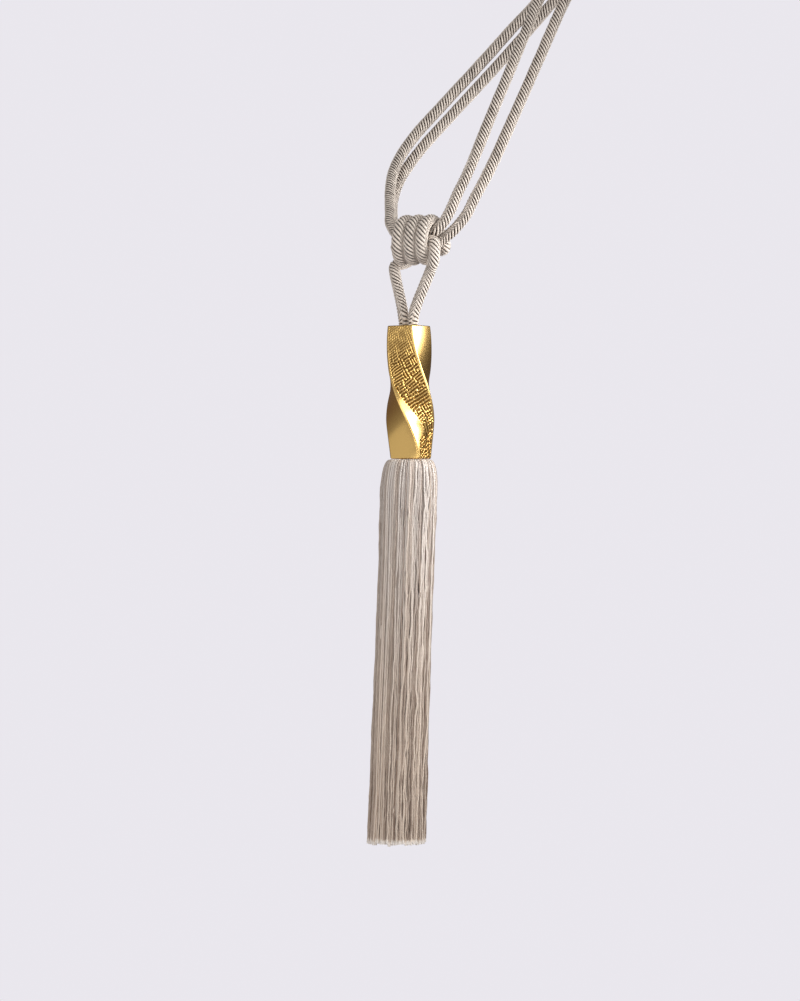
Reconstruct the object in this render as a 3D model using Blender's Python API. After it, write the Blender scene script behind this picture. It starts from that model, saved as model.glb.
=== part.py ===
"""Curtain tieback: a braided cord that is looped round a curtain and held by one wall hook,
a second cord wound round it in a barrel knot, and a long tassel hanging from the knot, with a
twisted metal head and a yarn skirt.

Units are metres and +Z is up. The origin is the top of the wall hook, where the two loops of the
tieback cord hang side by side. +X runs to the right and +Y towards the wall. The curtain that the
cord embraces and the hook aren't part of it.
"""

import math
import random

import bmesh
import bpy
from mathutils import Vector
from mathutils.geometry import delaunay_2d_cdt

MM = 0.001
TOUCH = 0.3 * MM  # what neighbouring pieces keep between them

# Both cords
CORD_D = 8.0 * MM
CORD_SIDES_RESOLUTION = 3  # a curve's bevel_resolution: ten sides
STRAIGHT_STEP = 4.0 * CORD_D  # between two points where a cord runs straight
BEND_STEP = math.radians(34)  # between two points where it turns on the spot
CURVE_STEPS = 24  # between two of a route's own points
END_POINTS = 16  # how many of those steps lie before a cord's second point

# Barrel knot: its axis is level, and its right-hand end is turned towards the room
BARREL_CENTRE = Vector((-126.9, -80.0, -240.6)) * MM
BARREL_YAW = math.radians(21)
TURN_RADIUS = 14.4 * MM  # to the middle of the cord
TURN_PITCH = 9.2 * MM
TURNS = 3
TURN_POINTS = 16

# Twisted head: a square bar, an edge towards the room at its top
HEAD_AXIS_TOP = Vector((-132.5, -81.0)) * MM
HEAD_AXIS_BOTTOM = Vector((-131.2, -81.0)) * MM
HEAD_TOP_Z = -303.1 * MM
HEAD_LENGTH = 96.7 * MM
HEAD_TWIST = math.radians(110.7)
HEAD_END_RADIUS = 15.5 * MM  # axis to corner at both ends
HEAD_BELLY_RADIUS = 18.0 * MM  # axis to corner where it is fullest
BELLY_RISE = 0.22  # shares of the length over which the belly fills out and draws in
BELLY_FALL = 0.32
HEAD_CORNER_FILLET = 1.0 * MM
HEAD_ROWS = 27
FACE_POINTS = 3

# Skirt of yarn
SKIRT_LENGTH = 281.0 * MM
SKIRT_AXIS_TOP = Vector((-132.2, -81.0)) * MM
SKIRT_AXIS_BOTTOM = Vector((-141.8, -81.0)) * MM
NECK_RADIUS = 14.8 * MM  # where the yarn comes out from under the head
SHOULDER_RADIUS = 21.2 * MM
SHOULDER_DROP = 25.0 * MM
SHOULDER_ROWS = 5
FLUTE_DEPTH = 0.7 * MM  # how far the grooves between the outer locks are cut back
LOCK_WIDTH = 2.3 * MM
LOCK_THICKNESS = 2.1 * MM
LOCK_PITCH = 2.85 * MM  # along a ring of locks
RING_PITCH = 2.6 * MM
END_UNEVEN = 1.6 * MM
LOCK_SWAY = 0.1 * MM
SEED = 7

# How the skirt's outside swells and narrows: a row for each level of the locks
SKIRT_LEVELS = (
    # share of the way from the shoulder to the cut end, outside radius in mm
    {"way": 0.00, "radius": 21.2},
    {"way": 0.22, "radius": 20.5},
    {"way": 0.58, "radius": 20.9},
    {"way": 1.00, "radius": 21.5},
)

COLOURS = {
    # name: base colour, roughness, metallic
    "ivory_braid": ((0.66, 0.59, 0.50), 0.75, 0.0),
    "satin_gold": ((0.83, 0.58, 0.20), 0.32, 1.0),
    "cream_yarn": ((0.80, 0.74, 0.66), 0.70, 0.0),
}

# The tieback cord's way, in millimetres: (right, towards the wall, up). It starts in the barrel.
FRONT_UPPER_STRAND = (
    (-112.9, -85.5, -234.6),
    (-107.4, -87.0, -229.6),
    (-102.0, -87.3, -220.8),
    (-97.4, -86.5, -209.0),
    (-88.9, -84.2, -190.1),
    (-72.1, -78.0, -148.8),
    (-54.3, -67.0, -105.3),
    (-36.9, -50.0, -62.2),
    (-25.0, -31.0, -35.5),
)
FRONT_LOOP = (
    (-15.5, -13.0, -14.0),
    (-9.8, -5.6, -2.0),
    (0.0, -4.5, 4.3),
    (9.8, -5.0, -2.0),
    (11.8, -8.5, -13.0),
    (5.5, -16.5, -27.0),
)
FRONT_LOWER_STRAND = (
    (-5.5, -28.0, -42.0),
    (-17.0, -42.0, -61.2),
    (-35.8, -59.0, -103.8),
    (-55.2, -73.0, -148.4),
    (-73.9, -80.5, -189.9),
    (-84.6, -83.0, -209.0),
    (-91.5, -84.0, -221.4),
    (-99.3, -83.5, -231.6),
    (-107.3, -80.9, -239.1),
)
BACK_LOWER_STRAND = (
    (-141.6, -61.5, -235.0),
    (-144.0, -52.6, -227.8),
    (-144.8, -40.0, -217.5),
    (-144.0, -26.0, -206.3),
    (-138.5, -10.0, -190.0),
    (-123.5, 3.0, -167.5),
    (-99.0, 12.0, -139.5),
    (-73.0, 16.0, -111.0),
    (-48.0, 17.0, -83.0),
    (-24.0, 15.0, -55.5),
    (-2.0, 11.0, -31.0),
)
BACK_LOOP = (
    (10.5, 6.5, -13.0),
    (9.8, 4.6, -2.0),
    (0.0, 4.3, 4.3),
    (-9.8, 4.8, -2.0),
    (-15.5, 7.5, -14.5),
)
BACK_UPPER_STRAND = (
    (-31.0, 14.5, -48.5),
    (-55.0, 17.0, -75.5),
    (-80.0, 16.0, -103.5),
    (-106.0, 12.0, -132.0),
    (-130.5, 2.0, -160.5),
    (-142.5, -14.0, -182.0),
    (-146.0, -33.0, -199.5),
    (-146.2, -47.0, -211.5),
    (-146.0, -58.0, -219.8),
    (-145.6, -69.0, -229.0),
)

# The tassel cord's way outside its turns, in millimetres along the barrel's axis, towards the
# room from the axis, and up from it
BEHIND_BARREL = (
    (-15.6, -17.4, -17.4),
    (-9.5, -22.2, -14.0),
    (0.0, -23.8, -9.8),
    (8.0, -23.5, -8.5),
    (14.2, -21.2, -7.8),
    (17.2, -17.4, -6.0),
    (16.9, -14.9, -1.3),
)
TUCK_INTO_BARREL = (
    (-14.6, -14.1, -7.4),
    (-17.2, -13.6, -4.4),
    (-19.2, -8.6, -3.6),
    (-18.2, -2.8, -5.0),
    (-14.0, 0.2, -5.4),
)
OUT_OF_BARREL = (
    (14.0, 6.4, -1.4),
    (17.6, 9.6, -3.0),
    (18.2, 11.0, -9.0),
    (16.8, 9.8, -16.5),
)
# The two legs, in the same axes as the tieback cord
LEFT_LEG = (
    (-136.0, -78.1, -302.7),
    (-136.0, -78.1, -300.7),
    (-137.2, -77.6, -291.4),
    (-140.2, -75.6, -276.8),
    (-142.5, -73.4, -266.5),
    (-142.8, -67.6, -260.4),
)
RIGHT_LEG = (
    (-116.8, -89.5, -263.0),
    (-122.7, -86.6, -277.3),
    (-128.2, -84.2, -291.7),
    (-129.8, -83.9, -300.7),
    (-129.8, -83.9, -302.7),
)
# Where the three runs of cord lie in the barrel: the angle from the room side towards the top,
# at the barrel's right-hand end, and how far all three turn by its left-hand end
BORE_RUN_RADIUS = 5.5 * MM
BORE_RUN_ANGLES = {"tassel": -20, "upper": 100, "lower": 220}
BORE_RUN_TURN = -70
BORE_HALF_LENGTH = 11.0 * MM


# ---------------------------------------------------------------- scene and materials


def clear_scene():
    for obj in list(bpy.data.objects):
        bpy.data.objects.remove(obj, do_unlink=True)


def new_collection(name):
    collection = bpy.data.collections.new(name)
    bpy.context.scene.collection.children.link(collection)
    return collection


def material(name):
    colour, roughness, metallic = COLOURS[name]
    made = bpy.data.materials.new(name)
    made.use_nodes = True
    shader = made.node_tree.nodes["Principled BSDF"]
    shader.inputs["Base Color"].default_value = (*colour, 1.0)
    shader.inputs["Roughness"].default_value = roughness
    shader.inputs["Metallic"].default_value = metallic
    return made


def add_object(name, data, collection, finish):
    obj = bpy.data.objects.new(name, data)
    collection.objects.link(obj)
    data.materials.append(material(finish))
    return obj


def mix(a, b, share):
    return a + (b - a) * share


def smooth(share):
    share = min(max(share, 0.0), 1.0)
    return share * share * (3 - 2 * share)


# ---------------------------------------------------------------- cords


def in_barrel(along, front, up):
    """A point given along the barrel's axis, towards the room and up, in metres."""
    axis = Vector((math.cos(BARREL_YAW), -math.sin(BARREL_YAW), 0))
    room = Vector((-math.sin(BARREL_YAW), -math.cos(BARREL_YAW), 0))
    return BARREL_CENTRE + axis * along + room * front + Vector((0, 0, up))


def from_mm(rows):
    return [Vector(row) * MM for row in rows]


def from_barrel_mm(rows):
    return [in_barrel(*(value * MM for value in row)) for row in rows]


def bore_run(name, start, end, points=3):
    """Points through the barrel from start to end, shares of its half length from -1 to 1."""
    run = []
    for i in range(points):
        share = mix(start, end, i / (points - 1))
        turned = BORE_RUN_ANGLES[name] + BORE_RUN_TURN * (1 - share) / 2
        angle = math.radians(turned)
        run.append(
            in_barrel(
                share * BORE_HALF_LENGTH,
                BORE_RUN_RADIUS * math.cos(angle),
                BORE_RUN_RADIUS * math.sin(angle),
            )
        )
    return run


def barrel_turns():
    """The turns, from the top of the right-hand one down its front and on to the left."""
    first = math.pi * 0.85
    last = -2 * math.pi * (TURNS - 1) - math.pi * 0.68
    count = round((first - last) / (2 * math.pi) * TURN_POINTS)
    rightmost = TURN_PITCH * (TURNS - 1) / 2
    turns = []
    for i in range(count + 1):
        angle = mix(first, last, i / count)
        turns.append(
            in_barrel(
                rightmost + TURN_PITCH * angle / (2 * math.pi),
                TURN_RADIUS * math.cos(angle),
                TURN_RADIUS * math.sin(angle),
            )
        )
    return turns


def smooth_curve(route):
    """Many points on a smooth curve through the route's own (a centripetal Catmull-Rom one)."""
    route = [2 * route[0] - route[1], *route, 2 * route[-1] - route[-2]]
    curve = []
    for p0, p1, p2, p3 in zip(route, route[1:], route[2:], route[3:], strict=False):
        t1 = math.sqrt((p1 - p0).length)
        t2 = t1 + math.sqrt((p2 - p1).length)
        t3 = t2 + math.sqrt((p3 - p2).length)
        for i in range(CURVE_STEPS):
            t = mix(t1, t2, i / CURVE_STEPS)
            a1 = p0.lerp(p1, t / t1)
            a2 = p1.lerp(p2, (t - t1) / (t2 - t1))
            a3 = p2.lerp(p3, (t - t2) / (t3 - t2))
            b1 = a1.lerp(a2, t / t2)
            b2 = a2.lerp(a3, (t - t1) / (t3 - t1))
            curve.append(b1.lerp(b2, (t - t1) / (t2 - t1)))
    curve.append(route[-2])
    return curve


def even_points(curve):
    """Some of the curve's points, closer together where it bends. One lies close to each end, so
    that the end faces stay square to the curve."""
    cost = [0.0]
    for i in range(1, len(curve)):
        step = curve[i] - curve[i - 1]
        after = curve[min(i + 1, len(curve) - 1)] - curve[i]
        turn = step.angle(after, 0.0)
        cost.append(cost[-1] + step.length / STRAIGHT_STEP + turn / BEND_STEP)
    count = math.ceil(cost[-1])
    chosen = {END_POINTS, len(curve) - 1 - END_POINTS}
    for i in range(count + 1):
        wanted = cost[-1] * i / count
        chosen.add(min(range(len(cost)), key=lambda k: abs(cost[k] - wanted)))
    return [curve[k] for k in sorted(chosen)]


def cord(name, route, collection):
    data = bpy.data.curves.new(name, "CURVE")
    data.dimensions = "3D"
    data.bevel_depth = CORD_D / 2
    data.bevel_resolution = CORD_SIDES_RESOLUTION
    data.use_fill_caps = True
    points = even_points(smooth_curve(route))
    spline = data.splines.new("POLY")
    spline.points.add(len(points) - 1)
    for point, place in zip(spline.points, points, strict=True):
        point.co = (*place, 1.0)
    return add_object(name, data, collection, "ivory_braid")


def tieback_cord(collection):
    """One ring of cord, flattened into two strands. Its ends meet inside the barrel."""
    route = bore_run("upper", 0.02, 1, points=2)
    route += from_mm(FRONT_UPPER_STRAND + FRONT_LOOP + FRONT_LOWER_STRAND)
    route += bore_run("lower", 1, -1)
    route += from_mm(BACK_LOWER_STRAND + BACK_LOOP + BACK_UPPER_STRAND)
    route += bore_run("upper", -1, -0.02, points=2)
    return cord("tieback_cord", route, collection)


def tassel_cord(collection):
    """Up from the head, behind the barrel, round it from right to left, and back through it."""
    route = from_mm(LEFT_LEG) + from_barrel_mm(BEHIND_BARREL) + barrel_turns()
    route += from_barrel_mm(TUCK_INTO_BARREL)
    route += bore_run("tassel", -0.6, 0.8)
    route += from_barrel_mm(OUT_OF_BARREL) + from_mm(RIGHT_LEG)
    return cord("tassel_cord", route, collection)


# ---------------------------------------------------------------- twisted head


def head_radius(share):
    """Axis to corner, at a share of the way down."""
    belly = smooth(share / BELLY_RISE) * smooth((1 - share) / BELLY_FALL)
    return mix(HEAD_END_RADIUS, HEAD_BELLY_RADIUS, belly)


def head_section(share):
    """A rounded square at a share of the way down, as points round the axis."""
    half_side = (
        head_radius(share) + (math.sqrt(2) - 1) * HEAD_CORNER_FILLET
    ) / math.sqrt(2)
    flat = half_side - HEAD_CORNER_FILLET
    points = []
    for corner in range(4):
        facing = HEAD_TWIST * share + corner * math.pi / 2
        for bend in (-math.pi / 4, 0, math.pi / 4):
            reach = Vector((flat * math.sqrt(2), 0))
            reach += HEAD_CORNER_FILLET * Vector((math.cos(bend), math.sin(bend)))
            points.append((facing, reach))
        side = facing + math.pi / 4
        for i in range(FACE_POINTS):
            across = mix(-flat, flat, (i + 1) / (FACE_POINTS + 1))
            points.append((side, Vector((half_side, across))))
    axis = HEAD_AXIS_TOP.lerp(HEAD_AXIS_BOTTOM, share)
    z = HEAD_TOP_Z - HEAD_LENGTH * share
    section = []
    for angle, (out, across) in points:
        x = out * math.sin(angle) + across * math.cos(angle)
        y = -out * math.cos(angle) + across * math.sin(angle)
        section.append(Vector((axis.x + x, axis.y + y, z)))
    return section


def loft(bm, rows):
    """Quads between closed rows of equally many vertices."""
    for upper, lower in zip(rows, rows[1:], strict=False):
        for i, vertex in enumerate(upper):
            after = (i + 1) % len(upper)
            bm.faces.new((vertex, lower[i], lower[after], upper[after]))


def finish_mesh(bm, name):
    bmesh.ops.recalc_face_normals(bm, faces=bm.faces[:])
    mesh = bpy.data.meshes.new(name)
    bm.to_mesh(mesh)
    bm.free()
    return mesh


def twisted_head(collection):
    bm = bmesh.new()
    rows = []
    for i in range(HEAD_ROWS + 1):
        rows.append([bm.verts.new(point) for point in head_section(i / HEAD_ROWS)])
    loft(bm, rows)
    bm.faces.new(rows[0])
    bm.faces.new(rows[-1])
    mesh = finish_mesh(bm, "head")
    mesh.shade_smooth()
    mesh.set_sharp_from_angle(angle=math.radians(30))
    return add_object("head", mesh, collection, "satin_gold")


# ---------------------------------------------------------------- yarn skirt


def skirt_top():
    return HEAD_TOP_Z - HEAD_LENGTH - TOUCH


def skirt_axis(z):
    """The middle of the skirt at a height: it leans a little to the left."""
    share = (skirt_top() - z) / SKIRT_LENGTH
    return SKIRT_AXIS_TOP.lerp(SKIRT_AXIS_BOTTOM, share)


def polar(radius, angle):
    return Vector((radius * math.cos(angle), radius * math.sin(angle)))


def lock_roots():
    """For each ring of locks from the outside in, each lock's four corners round the middle."""
    rings = []
    radius = SHOULDER_RADIUS - LOCK_THICKNESS / 2
    while radius > LOCK_THICKNESS / 2:
        count = round(2 * math.pi * radius / LOCK_PITCH)
        half = LOCK_WIDTH / radius / 2
        inner = radius - LOCK_THICKNESS / 2
        outer = radius + LOCK_THICKNESS / 2
        ring = []
        for i in range(count):
            angle = 2 * math.pi * i / count
            ring.append(
                [
                    polar(outer, angle - half),
                    polar(outer, angle + half),
                    polar(inner, angle + half),
                    polar(inner, angle - half),
                ]
            )
        rings.append(ring)
        radius -= RING_PITCH
    return rings


def shoulder_rim(outer_ring):
    """The outline of the shoulder's underside: each outer lock's face, then a groove."""
    rim = []
    for i, lock in enumerate(outer_ring):
        after = outer_ring[(i + 1) % len(outer_ring)]
        valley = (lock[1] + after[0]) / 2
        valley -= valley.normalized() * FLUTE_DEPTH
        rim += [(lock[0], False), (lock[1], False), (valley, True)]
    return rim


def shoulder_rows(bm, rim):
    """Rows of vertices from the neck over the round shoulder to the underside."""
    rows = []
    for i in range(SHOULDER_ROWS + 1):
        bend = math.pi / 2 * i / SHOULDER_ROWS
        z = skirt_top() - SHOULDER_DROP * (1 - math.cos(bend))
        radius = mix(NECK_RADIUS, SHOULDER_RADIUS, math.sin(bend))
        axis = skirt_axis(z)
        row = []
        for place, in_groove in rim:
            out = place.normalized() * radius
            if in_groove:
                out -= place.normalized() * FLUTE_DEPTH * math.sin(bend)
            row.append(bm.verts.new((axis.x + out.x, axis.y + out.y, z)))
        rows.append(row)
    return rows


def underside(bm, rim_row, rings):
    """Fills the shoulder's underside round the locks' roots, and returns each root's vertices."""
    z = rim_row[0].co.z
    axis = skirt_axis(z)
    places = [vertex.co.xy - axis for vertex in rim_row]
    vertices = list(rim_row)
    roots = []
    for r, ring in enumerate(rings):
        for i, lock in enumerate(ring):
            if r == 0:
                root = [3 * i, 3 * i + 1]
                added = lock[2:]
            else:
                root = []
                added = lock
            for corner in added:
                root.append(len(places))
                places.append(corner)
                vertices.append(bm.verts.new((axis.x + corner.x, axis.y + corner.y, z)))
            roots.append(root)
    outlines = [list(range(len(rim_row))), *roots]
    _, _, faces, first, _, owners = delaunay_2d_cdt(places, [], outlines, 1, 1e-9)
    for face, owner in zip(faces, owners, strict=True):
        if owner == [0]:
            bm.faces.new([vertices[first[k][0]] for k in face])
    return [[vertices[k] for k in root] for root in roots]


def hang_locks(bm, roots):
    """Runs each root down as a four-sided lock of yarn to its own cut end."""
    rng = random.Random(SEED)
    top = roots[0][0].co.z
    bottom = skirt_top() - SKIRT_LENGTH
    top_axis = skirt_axis(top)
    for root in roots:
        above = root
        end = bottom + rng.uniform(0, END_UNEVEN)
        for level in SKIRT_LEVELS[1:]:
            z = mix(top, end, level["way"])
            widening = level["radius"] * MM / SHOULDER_RADIUS
            sway = Vector((rng.uniform(-1, 1), rng.uniform(-1, 1))) * LOCK_SWAY
            axis = skirt_axis(z)
            row = []
            for corner in root:
                out = (corner.co.xy - top_axis) * widening + sway
                row.append(bm.verts.new((axis.x + out.x, axis.y + out.y, z)))
            loft(bm, [above, row])
            above = row
        bm.faces.new(above)


def yarn_skirt(collection):
    bm = bmesh.new()
    rings = lock_roots()
    rows = shoulder_rows(bm, shoulder_rim(rings[0]))
    loft(bm, rows)
    bm.faces.new(rows[0])
    hang_locks(bm, underside(bm, rows[-1], rings))
    return add_object("skirt", finish_mesh(bm, "skirt"), collection, "cream_yarn")


def main():
    clear_scene()
    parts = new_collection("curtain_tieback_tassel")
    tieback_cord(parts)
    tassel_cord(parts)
    twisted_head(parts)
    yarn_skirt(parts)


main()
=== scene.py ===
"""Curtain tieback with a long tassel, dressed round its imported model: two braided cords, a twisted
metal head with a maze grain, and a skirt of cut yarn. Units are metres and +Z is up.
"""

import math

import bmesh
import bpy
import numpy as np
from bpy.props import FloatProperty, FloatVectorProperty, IntProperty, PointerProperty
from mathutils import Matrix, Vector


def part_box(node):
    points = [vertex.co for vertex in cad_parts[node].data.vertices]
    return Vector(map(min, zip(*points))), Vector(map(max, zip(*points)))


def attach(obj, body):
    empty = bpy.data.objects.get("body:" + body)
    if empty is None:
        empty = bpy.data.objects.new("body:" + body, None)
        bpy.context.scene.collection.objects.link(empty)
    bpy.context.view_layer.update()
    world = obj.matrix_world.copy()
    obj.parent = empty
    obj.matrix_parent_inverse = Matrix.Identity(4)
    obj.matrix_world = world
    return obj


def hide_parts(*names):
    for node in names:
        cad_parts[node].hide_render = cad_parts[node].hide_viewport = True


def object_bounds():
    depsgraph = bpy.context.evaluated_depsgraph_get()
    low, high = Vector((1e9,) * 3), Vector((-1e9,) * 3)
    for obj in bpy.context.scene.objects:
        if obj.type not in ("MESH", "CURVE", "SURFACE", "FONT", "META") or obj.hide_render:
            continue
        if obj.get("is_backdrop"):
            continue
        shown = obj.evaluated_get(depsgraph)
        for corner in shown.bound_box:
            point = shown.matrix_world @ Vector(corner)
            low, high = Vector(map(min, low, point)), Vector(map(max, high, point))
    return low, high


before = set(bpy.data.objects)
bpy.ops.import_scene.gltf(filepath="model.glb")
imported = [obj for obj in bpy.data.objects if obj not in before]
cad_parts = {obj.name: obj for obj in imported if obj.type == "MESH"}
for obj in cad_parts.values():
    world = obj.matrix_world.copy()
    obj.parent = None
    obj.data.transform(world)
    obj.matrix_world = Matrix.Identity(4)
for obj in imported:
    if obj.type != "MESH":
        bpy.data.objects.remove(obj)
CAD_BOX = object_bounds()

bl_info = {
    "name": "Curtain Tieback Tassel",
    "version": (1, 0, 0),
    "blender": (4, 5, 0),
    "location": "View3D > Sidebar > Tieback",
    "description": "Braided cords, a twisted metal head and a yarn skirt round the tieback's model",
    "category": "Add Mesh",
}

MM_PER_METRE = 1000
BODY = "root"
GOLDEN_ANGLE = math.pi * (3 - math.sqrt(5))
VIEW_CENTRE = Vector((-0.139, -0.080, -0.430))
TO_ROOM = Vector((0.0, -1.0, 0.0))

# The routes that the cords follow, and the barrel knot, as in the model
CORD_D = 0.008
CURVE_STEPS = 48  # between two of a route's own points
LINE_STEP = 0.0003  # between two points of a cord's centreline
BARREL_CENTRE = np.array((-0.1269, -0.0800, -0.2406))
BARREL_YAW = math.radians(21)
BARREL_AXIS = np.array((math.cos(BARREL_YAW), -math.sin(BARREL_YAW), 0.0))
BARREL_ROOM = np.array((-math.sin(BARREL_YAW), -math.cos(BARREL_YAW), 0.0))
UP = np.array((0.0, 0.0, 1.0))
TURN_RADIUS = 0.0144
TURN_PITCH = 0.0092
TURNS = 3
TURN_POINTS = 16
TURNS_FROM, TURNS_TO = 0.85, -0.68  # angles of their ends, in half turns from the front
BORE_RUN_RADIUS = 0.0055
BORE_RUN_ANGLES = {"tassel": -20, "upper": 100, "lower": 220}
BORE_RUN_TURN = -70
BORE_HALF_LENGTH = 0.0110

# The head and the skirt, as in the model
HEAD_TOP = (-0.1325, -0.0810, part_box("head")[1].z)
HEAD_LEAN = (0.0013, 0.0, 0.0)  # from its top to its bottom
HEAD_LENGTH = HEAD_TOP[2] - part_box("head")[0].z
HEAD_TOP_TURN = math.radians(8)
HEAD_TWIST = math.radians(104.5)
HEAD_END_RADIUS = 0.0155
HEAD_BELLY_RADIUS = 0.0184
# How the twist and the belly build up: (share of the way down, share of the whole)
TWIST_CURVE = (
    (0.0, 0.0), (0.15, 0.055), (0.3, 0.182), (0.45, 0.358), (0.6, 0.545), (0.75, 0.75),
    (0.87, 0.895), (1.0, 1.0),
)
BELLY_CURVE = (
    (0.0, 0.0), (0.1, 0.33), (0.25, 0.6), (0.4, 0.87), (0.55, 1.0), (0.65, 0.9), (0.78, 0.52),
    (0.9, 0.18), (1.0, 0.0),
)
SKIRT_TOP = (-0.1318, -0.0810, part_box("skirt")[1].z)
SKIRT_LEAN = (-0.0100, 0.0, 0.0)
SKIRT_LENGTH = SKIRT_TOP[2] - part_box("skirt")[0].z
NECK_RADIUS = 0.0148
SHOULDER_RADIUS = 0.0212
SHOULDER_DROP = 0.0250
# How wide the hanging yarns spread: (share of their fall, share of the shoulder's radius)
SKIRT_SWELL = ((0.0, 1.0), (0.22, 0.967), (0.58, 0.986), (1.0, 1.014))

# Braid, beyond what its settings say
END_EASE = 0.012  # over which the slanting ribs turn square to a cord's end
COLUMN_VERTICES = (8, 4)  # across a wide column of ribs, and across a narrow one
RIB_ROUNDNESS = 2.4
FIRST_COLUMN = 0.17  # where round the cord the first column's middle lies, in turns
SEAM_SHARPNESS = 6.0
SEAM_HEIGHT = 0.75
RIB_UNEVEN = 0.05
RIB_SEED = 5
FLATTENING = 0.16  # how much wider the cord lies where the barrel's turns press on each other

# Head, beyond what its settings say
MAZE_CELL = 0.0003  # between two vertices of a grained side
MAZE_WAVE = 9  # grid cells to a line of the maze while it grows
MAZE_STEP = 0.5
MAZE_STEPS = 10
MAZE_SEED = 21
MAZE_NOISE = 1.2  # that it grows from
# The next three: for the pebbles at the top, and for the lines further down
MAZE_GROWTH = (0.35, 0.8)
MAZE_BREAK = (1.1, 0.0)  # how strongly the lines break up into pebbles
MAZE_FULLNESS = (0.9, 0.1)  # how far the raised parts outweigh the grooves
MAZE_STEEPNESS = 2.3  # of the grooves' sides
MAZE_SQUARENESS = 3.0  # how strongly the lines keep to two directions
MAZE_ACROSS = 0.05  # how much more of them run across than along
MAZE_TURN = math.radians(12)  # of those two directions
MAZE_LEAN = math.radians(20)  # of the lines that run across, as the sides' edges lean
PEBBLE_REACH = (0.18, 0.38)  # shares of the length between which the pebbles become lines
PEBBLE_DEPTH = 0.8  # of the grain at the top, as a share of its full depth
FULL_DEPTH_AT = 0.35  # share of the length where it gets that
# The sunk grain also takes more painted shade in its grooves, so the grained sides are darker at the
# bottom
SINK = 0.85  # how far the grain sinks under the rims at the bottom, in reliefs
SINK_REACH = (0.77, 0.83)
GRAIN_EDGE = 0.0006  # over which the grain rises to the rims and the polished band
GRAIN_ENDS = (0.001, 0.011)  # shares of the length over which it begins at each end
SMOOTH_COLUMNS = 14  # of vertices on each plain side
FILLET_COLUMNS = 4  # on each rounded edge
FILLET_SHARE = 0.045  # radius of the rounded edges, for a corner radius of 1
BULGE = 0.05  # how far the sides stand out in their middle, for a corner radius of 1
# The polished band along the grained sides' lower edge: (share of the way down, width)
POLISHED_BAND = (
    (0.0, 0.0009), (0.44, 0.0009), (0.5, 0.0017), (0.56, 0.0036), (0.635, 0.007), (0.71, 0.0106),
    (0.75, 0.0128), (0.785, 0.0134), (0.815, 0.0122), (0.84, 0.0085), (0.87, 0.005), (0.93, 0.003),
    (1.0, 0.0026),
)
# How the head's ends are rounded: (share of the length from the end, share of the full width)
EDGE_ROWS = ((0.0, 0.35), (0.0, 0.97), (0.0015, 0.99), (0.0045, 1.0))

# Yarn, beyond what its settings say
INNER_SHARE = 0.75  # of the yarns, that don't show
YARN_TUCK = 0.015  # share of a yarn's way that lies under the head, before its bend
YARN_BEND = 0.1  # share where it is over the shoulder and hangs from there
TIP_FROM = 0.99  # share of its fall where its cut tip begins
TIP_FLARE = 0.45  # how much thicker that is
STRAY_YARNS = (0.93, 0.94)  # chances between which a yarn comes to stray
STRAY_LIFT = 0.0006  # how far it then comes out of the skirt
STRAY_SWING = 0.014  # how far it swings round it
# Scale round the skirt of the noise that draws the yarns together and cuts them unevenly
LOCK_NOISE, FINE_LOCK_NOISE, SWING_NOISE, END_NOISE = 9.0, 22.0, 5.0, 16.0
OWN_NOISE = 90.0  # between the noise of one yarn and the next

# Materials, beyond what their settings say
BRAID_OPEN = (0.35, 1.0)  # heights between which the painted shade in its grooves ends
BRAID_STREAKS = 0.75  # how strongly the fibres' streaks count as height there
BRAID_BUMP = 0.0003  # distance of the fibres' bump
# Heights between which the painted shade in the maze's grooves ends
GOLD_OPEN = (-1.0, 0.7)
GOLD_ROUGHNESS = (0.42, 0.22)  # in the grooves, and outside them
GOLD_STREAKS = 0.06  # how much that adds to the roughness
GOLD_SCALE = 2500.0  # of the satin's noise
GOLD_BUMP = (0.00002, 0.1)  # its distance and strength
# Heights from which the painted shade between the yarns fades out, up to YARN_OPEN_TO; more of them lie
# in it towards the cut ends
YARN_OPEN_FROM = (0.68, 0.98)  # at the shoulder, and at the cut ends
YARN_OPEN_TO = 1.78
YARN_SCALE = (2200.0, 120.0)  # of the streaks across and along the yarn
YARN_BUMP = 0.00012
FLECK_CHANCES = (0.55, 0.9)  # between which a yarn comes to be a darker fleck
OUTSIDE_DEPTHS = (0.8, 0.96)  # between which a yarn comes out of the painted shade on the yarns inside

# The soft lights: their place from the middle of the view, how high above that they are aimed,
# their size, and their spread in degrees
LIGHTS = (
    ("window", (0.40, -0.11, 0.18), 0.08, (0.50, 0.165), 110),
    ("key", (0.75, -1.25, 0.75), 0.0, (0.7, 0.7), 180),
    ("front", (-0.6, -2.3, 0.0), 0.0, (1.5, 1.5), 180),
    ("sky", (-1.2, -0.9, 1.5), 0.0, (1.2, 1.2), 180),
    ("fill", (-2.1, -0.9, -0.3), 0.0, (2.2, 2.2), 180),
    ("back", (0.0, 1.4, 2.2), 0.0, (0.8, 0.8), 180),
)
FLOOR_RADIUS = 1.3

# How far each cord is rolled about its own line: (number of the point on its route, degrees)
TIEBACK_ROLL = (
    (0, -112), (3, -132), (6, -132), (7, -72), (9, -66), (17, -100), (20, -105), (21, -72),
    (23, -32), (25, -32), (28, 0), (30, 27), (33, 10), (45, 10), (50, -30), (56, -40),
)
TASSEL_ROLL = (
    (0, -240), (2, -240), (4, -200), (13, -125), (36, -73), (57, -25), (68, 46), (69, 52), (70, 80),
    (71, 93), (74, 93),
)

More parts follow.
